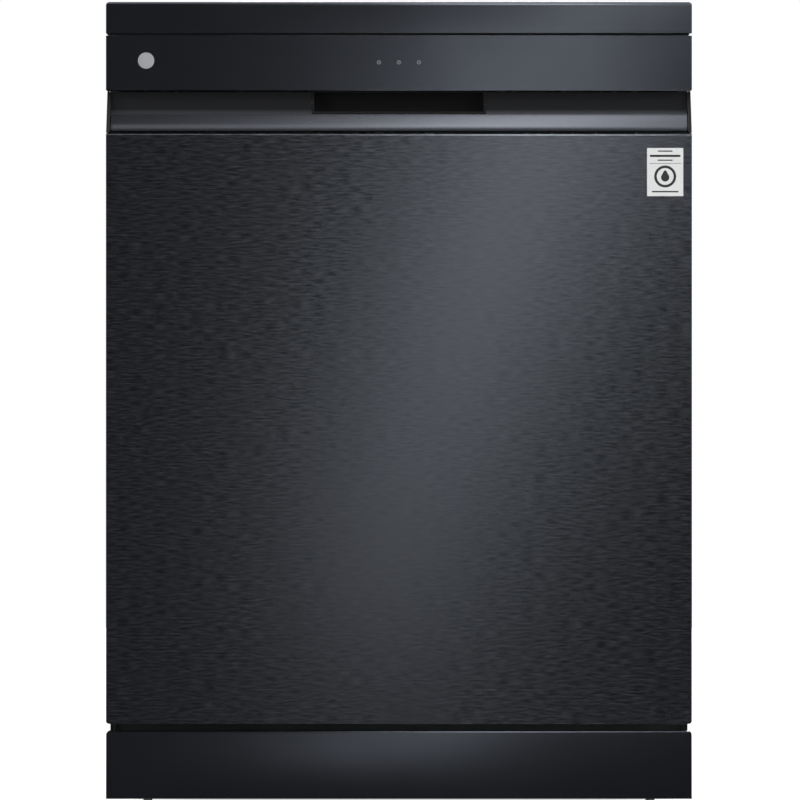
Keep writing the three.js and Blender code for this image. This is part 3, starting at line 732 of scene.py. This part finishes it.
def door_label():
    """A pale label at the upper right of the door: a drop in a ring between plain bars, with no lettering."""
    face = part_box("door_outer_panel")[0].y
    x, z = 0.2717, 0.6757
    half_width, half_height = 0.01845, 0.02455
    film, ink, behind = -0.0001, -0.00016, 0.0001  # how far the film and the ink stand off the door
    bm = bmesh.new()
    outline = rounded_outline(half_width, z - half_height, z + half_height, 0.0007, 3, x)
    add_outline(bm, outline, face + film, face + 0.0003)
    finish_mesh("door_label", bm, "door", "clear_lens", "label")
    bm = bmesh.new()
    ring_z = z - 0.0045
    add_turned(bm, ring(0.0086, 0.0112, behind, ink), (x, face, ring_z), "Y", 56)
    round_part, point = 0.0042, 0.0032
    drop = []
    for n in range(40):
        a = 2 * math.pi * n / 40
        rise = round_part * math.sin(a) + point * max(0.0, math.sin(a)) ** 6
        drop.append((x + round_part * math.cos(a), ring_z - 0.001 + rise))
    add_outline(bm, drop, face + ink, face + behind)
    bars = (  # half the length, height over the label's middle, half the thickness
        (0.0075, 0.0214, 0.0006), (0.0155, 0.0165, 0.0011), (0.0075, 0.0121, 0.0006),
        (0.0163, 0.0088, 0.0002), (0.0135, -0.0200, 0.0007),
    )
    for half, height, thick in bars:
        low, high = z + height - thick, z + height + thick
        add_box(bm, (x - half, face + ink, low), (x + half, face + behind, high))
    finish_mesh("door_label_print", bm, "door", "dark_plastic", "print")


fascia_badge()
door_label()


# ---------------------------------------------------------------- fastenings and pressings
def rear_fastenings():
    """Pan-head screws round the rear panel, and the thread on the water inlet."""
    low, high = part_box("rear_panel")
    bm = bmesh.new()
    edge = 0.008
    places = [(x, z) for x in (low.x + edge, high.x - edge) for z in spread(low.z + 0.018, high.z - 0.014, 5)]
    places += [(x, z) for x in (-0.096, 0.096) for z in (low.z + 0.010, high.z - 0.010)]
    for x, z in places:
        screw(bm, (x, high.y, z), "Y")
    finish_mesh("rear_panel_screws", bm, "root", "galvanised")
    bm = bmesh.new()
    low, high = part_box("inlet_valve")
    centre_x, centre_z, core, crest, pitch = -0.215, 0.082, 0.0132, 0.0141, 0.0018
    start = high.y - 0.0125
    profile = [(core - 0.001, start)]
    for n in range(6):
        profile += [(core, start + n * pitch), (crest, start + (n + 0.5) * pitch)]
    profile += [(core, high.y - 0.001), (core - 0.001, high.y - 0.001)]
    add_turned(bm, profile, (centre_x, 0, centre_z), "Y", 40)
    finish_mesh("inlet_thread", bm, "root", "grey_plastic")


def side_pressings():
    """Shallow raised beads on each side panel, and the screws along its lower edge."""
    bead, proud = 0.004, 0.0006
    for name, side in SIDES.items():
        low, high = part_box(f"{name}_side_panel")
        outer = high.x if side > 0 else low.x
        xs = sorted((outer - side * 0.0004, outer + side * proud))
        bm = bmesh.new()
        left, right, bottom, top = low.y + 0.06, high.y - 0.06, 0.17, 0.75
        for z in (bottom, top):
            add_box(bm, (xs[0], left, z - bead), (xs[1], right, z + bead), 0.0004)
        for y in (left + bead, right - bead):
            add_box(bm, (xs[0], y - bead, bottom + bead), (xs[1], y + bead, top - bead), 0.0004)
        finish_mesh(f"side_beads_{name}", bm, "root", "side_paint")
        bm = bmesh.new()
        steps = [(0, 0.0009), (0.0036, 0.0008), (0.0042, 0.0002), (0.0042, -0.0003), (0, -0.0003)]
        head = [(radius, side * height) for radius, height in steps]
        for y in spread(low.y + 0.03, high.y - 0.03, 4):
            add_turned(bm, head, (outer, y, low.z + 0.016), "X", 20)
        finish_mesh(f"side_screws_{name}", bm, "root", "galvanised")


def tub_pressings():
    """Beads pressed into the tub's side and back walls, which stiffen the thin sheet."""
    low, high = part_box("tub_wrapper")
    proud, bead = 0.0011, 0.005
    front, back = low.y + 0.050, high.y - 0.030
    inside = 0.281
    bm = bmesh.new()
    for side in SIDES.values():
        for z in (0.215, 0.330, 0.445, 0.645):
            zs = (z - bead, z + bead)
            add_side_box(bm, side, inside - proud, inside + 0.0003, (front, back), zs, 0.0009, 3)
    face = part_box("tub_back")[0].y
    for z in (0.230, 0.680, 0.735):
        for side in SIDES.values():
            ys, zs = (face - proud, face + 0.0003), (z - bead, z + bead)
            add_side_box(bm, side, 0.03, 0.2, ys, zs, 0.0009, 3)
    finish_mesh("tub_beads", bm, "root", "stainless")


def liner_pressings():
    """The raised border of the door's inner liner and two beads above the dispenser."""
    low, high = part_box("door_inner_liner")
    face, proud, bead = high.y, 0.0012, 0.004
    half, bottom, top = high.x - 0.026, low.z + 0.036, high.z - 0.034
    bm = bmesh.new()
    for z in (bottom, top):
        add_box(bm, (-half, face - 0.0003, z - bead), (half, face + proud, z + bead), 0.001, 3)
    for x in (-half, half):
        add_box(bm, (x - bead, face - 0.0003, bottom - bead), (x + bead, face + proud, top + bead), 0.001, 3)
    for z in (0.60, 0.66):
        add_box(bm, (-0.19, face - 0.0003, z - bead), (0.19, face + proud, z + bead), 0.001, 3)
    finish_mesh("liner_beads", bm, "door", "stainless")


rear_fastenings()
side_pressings()
tub_pressings()
liner_pressings()


# ---------------------------------------------------------------- controls, dispenser and tray fittings
def control_marks():
    """Plain symbols on the keys, a row of lamps and a dark display along the door's top edge."""
    low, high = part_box("control_housing")
    top, middle = high.z, (low.y + high.y) / 2
    bm = bmesh.new()
    add_box(bm, (-0.165, middle - 0.0050, top - 0.0006), (-0.045, middle + 0.0050, top + 0.0002), 0.0002)
    finish_mesh("display_window", bm, "door", "dark_plastic", "display")
    bm = bmesh.new()
    lamp = [(0, 0.00035), (0.0010, 0.00035), (0.0013, 0.0001), (0.0013, -0.0004), (0, -0.0004)]
    for x in spread(0.045, 0.165, 7):
        add_turned(bm, lamp, (x, middle, top), "Z", 20)
    finish_mesh("programme_lamps", bm, "door", "clear_lens", "badge")
    for name in ("power_button", "programme_button", "start_button"):
        low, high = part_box(name)
        centre = Vector(((low.x + high.x) / 2, (low.y + high.y) / 2, high.z))
        bm = bmesh.new()
        ink, stroke = 0.0001, 0.0003
        if name == "power_button":
            add_turned(bm, ring(0.0020, 0.0026, -ink, ink), centre, "Z", 32)
            add_box(bm, centre + Vector((-stroke, 0.0006, -ink)), centre + Vector((stroke, 0.0034, 0.00012)))
        elif name == "programme_button":
            for y in (-0.0018, 0, 0.0018):
                left, right = Vector((-0.003, y - stroke, -ink)), Vector((0.003, y + stroke, ink))
                add_box(bm, centre + left, centre + right)
        else:
            add_turned(bm, disc(0.0028, ink, -ink), centre, "Z", 3)
        finish_mesh(name + "_symbol", bm, BODY_OF[name], "clear_lens", "label")


def dispenser_details():
    """The level window beside the rinse aid cap, and the guides that the detergent lid slides in."""
    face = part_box("detergent_dispenser")[1].y
    low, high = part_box("detergent_lid")
    bm = bmesh.new()
    window = [(0, 0.0006), (0.0045, 0.0005), (0.0052, 0.0002), (0.0052, -0.0004), (0, -0.0004)]
    add_turned(bm, window, (0.115, face, 0.404), "Y", 32)
    finish_mesh("rinse_level_window", bm, "door", "clear_lens", "display")
    bm = bmesh.new()
    travel = 0.052
    for bottom, top in ((low.z - 0.0034, low.z - 0.0006), (high.z + 0.0006, high.z + 0.0034)):
        corners = (low.x - 0.002, face - 0.0005, bottom), (high.x + travel, face + 0.0022, top)
        add_box(bm, *corners, 0.0006)
    finish_mesh("lid_guides", bm, "door", "grey_plastic")
    bm = bmesh.new()
    for n in range(5):
        z = (low.z + high.z) / 2 + (n - 2) * 0.006
        near, far = (low.x + 0.006, high.y - 0.0027), (low.x + 0.030, high.y - 0.0014)
        add_box(bm, (*near, z - 0.001), (*far, z + 0.001), 0.0004)
    finish_mesh("lid_grip", bm, BODY_OF["detergent_lid"], "grey_plastic")


def tray_combs():
    """Thin upright fins that hold each piece of cutlery in its place."""
    low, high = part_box("cutlery_tray")
    inner, floor_top, fin = 0.252, low.z + 0.003, 0.0007
    bm = bmesh.new()
    for y in spread(low.y + 0.055, high.y - 0.055, 4):
        add_box(bm, (-inner, y - 0.0012, floor_top - 0.0005), (inner, y + 0.0012, floor_top + 0.003), 0.0004)
        for x in spread(-inner + 0.006, inner - 0.006, 29):
            add_box(bm, (x - fin, y - 0.007, floor_top), (x + fin, y + 0.007, floor_top + 0.017), 0.0004)
    finish_mesh("cutlery_combs", bm, "cutlery_tray", "rack_wire")
    bm = bmesh.new()
    add_box(bm, (-0.055, low.y - 0.0016, high.z - 0.022), (0.055, low.y + 0.0005, high.z - 0.004), 0.0009, 3)
    finish_mesh("tray_handle", bm, "cutlery_tray", "dark_plastic")


def lower_rack_handle():
    """A plain grip clipped to the front of the lower rack."""
    low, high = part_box("lower_rack")
    bm = bmesh.new()
    add_box(bm, (-0.055, low.y - 0.0018, high.z - 0.030), (0.055, low.y + 0.0016, high.z - 0.001), 0.0014, 3)
    finish_mesh("lower_rack_handle", bm, "root", "dark_plastic")


control_marks()
dispenser_details()
tray_combs()
lower_rack_handle()


# ---------------------------------------------------------------- camera, floor and light
CAMERA_DISTANCE = 3.2  # in front of the door
SEEN_WIDTH = 0.8164  # across the picture, at the door


def camera():
    """A long lens square to the door's front, level with its middle."""
    data = bpy.data.cameras.new("camera")
    data.sensor_width = 36
    data.lens = data.sensor_width * CAMERA_DISTANCE / SEEN_WIDTH
    data.clip_end = 100
    eye = bpy.data.objects.new("camera", data)
    eye.location = (0.0011, cad_box[0][1] - CAMERA_DISTANCE, 0.4431)
    eye.rotation_euler = (math.pi / 2, 0, 0)
    bpy.context.scene.collection.objects.link(eye)
    bpy.context.scene.camera = eye


COOL_WHITE = (0.97, 0.98, 1.0)


def area_light(name, place, target, size, watts, color=(1, 1, 1), lean=0.0):
    """A rectangular lamp aimed at a point; lean turns it about its own axis, in radians."""
    data = bpy.data.lights.new(name, "AREA")
    data.shape = "RECTANGLE"
    data.size, data.size_y = size
    data.energy = watts
    data.color = color
    lamp = bpy.data.objects.new(name, data)
    lamp.location = place
    aim = (Vector(target) - Vector(place)).to_track_quat("-Z", "Y")
    lamp.rotation_euler = (aim.to_matrix() @ Matrix.Rotation(lean, 3, "Z")).to_euler()
    lamp.visible_camera = False
    bpy.context.scene.collection.objects.link(lamp)


def world():
    """White to the camera, dim to everything else, so the dark metal mirrors a dim room."""
    made = bpy.data.worlds.new("studio")
    bpy.context.scene.world = made
    made.use_nodes = True
    tree = made.node_tree
    backdrop = tree.nodes["Background"]
    backdrop.inputs["Color"].default_value = (1, 1, 1, 1)
    room = tree.nodes.new("ShaderNodeBackground")
    room.inputs["Color"].default_value = (0.93, 0.96, 1.0, 1)
    room.inputs["Strength"].default_value = 0.12
    path = tree.nodes.new("ShaderNodeLightPath")
    choice = tree.nodes.new("ShaderNodeMixShader")
    tree.links.new(path.outputs["Is Camera Ray"], choice.inputs["Fac"])
    tree.links.new(room.outputs["Background"], choice.inputs[1])
    tree.links.new(backdrop.outputs["Background"], choice.inputs[2])
    tree.links.new(choice.outputs["Shader"], tree.nodes["World Output"].inputs["Surface"])


def floor():
    """A white floor that the dark metal doesn't mirror."""
    bm = bmesh.new()
    bmesh.ops.create_grid(bm, x_segments=8, y_segments=8, size=2.6)
    bmesh.ops.translate(bm, vec=(0, 0, -0.0002), verts=bm.verts)
    mesh = bpy.data.meshes.new("floor")
    bm.to_mesh(mesh)
    bm.free()
    ground = bpy.data.objects.new("floor", mesh)
    bpy.context.scene.collection.objects.link(ground)
    paint = new_material(
        "floor_paint", (0.92, 0.92, 0.92), 0.0, 0.9, Emission_Color=(1, 1, 1, 1), Emission_Strength=0.6
    )
    vary(paint, "Roughness", noise(paint, 2.0), 0.85, 0.95)
    mesh.materials.append(paint)
    ground.visible_glossy = False


camera()
world()
floor()
bpy.context.scene.view_settings.view_transform = "Standard"
area_light("band_upper", (0.40, -5.6, 1.42), (0.40, 0, 1.42), (0.30, 1.3), 4.2, COOL_WHITE, math.radians(-24))
area_light("band_lower", (0.06, -5.6, 0.40), (0.06, 0, 0.40), (0.34, 1.1), 2.3, COOL_WHITE, math.radians(-16))
area_light("overhead", (0.26, -2.5, 2.9), (0.1, -0.29, 0.73), (0.36, 2.9), 23)
area_light("bounce", (0.22, -0.75, -0.5), (0.22, -0.3, 0.76), (0.55, 0.6), 9)
area_light("floor_wash", (0, 0.6, 4.5), (0, 0.6, 0), (6, 6), 130)
area_light("left_fill", (-3.4, -1.0, 1.4), (0, 0, 0.4), (1.6, 2.2), 45)
area_light("right_fill", (3.4, -1.0, 1.4), (0, 0, 0.4), (1.6, 2.2), 45)
area_light("left_card", (-3.2, -3.9, 1.7), (0, 0, 0.45), (1.2, 2.2), 18)
area_light("right_card", (3.2, -3.9, 1.7), (0, 0, 0.45), (1.2, 2.2), 18)
area_light("left_low_card", (-2.3, -2.7, -1.0), (0, -0.3, 0.45), (2.8, 2.0), 15)
area_light("rear_left_card", (-3.0, 3.0, 2.5), (0, 0, 0.8), (2.2, 1.4), 22)
area_light("rear_fill", (0.6, 3.6, 1.6), (0, 0, 0.4), (2.0, 2.0), 60)
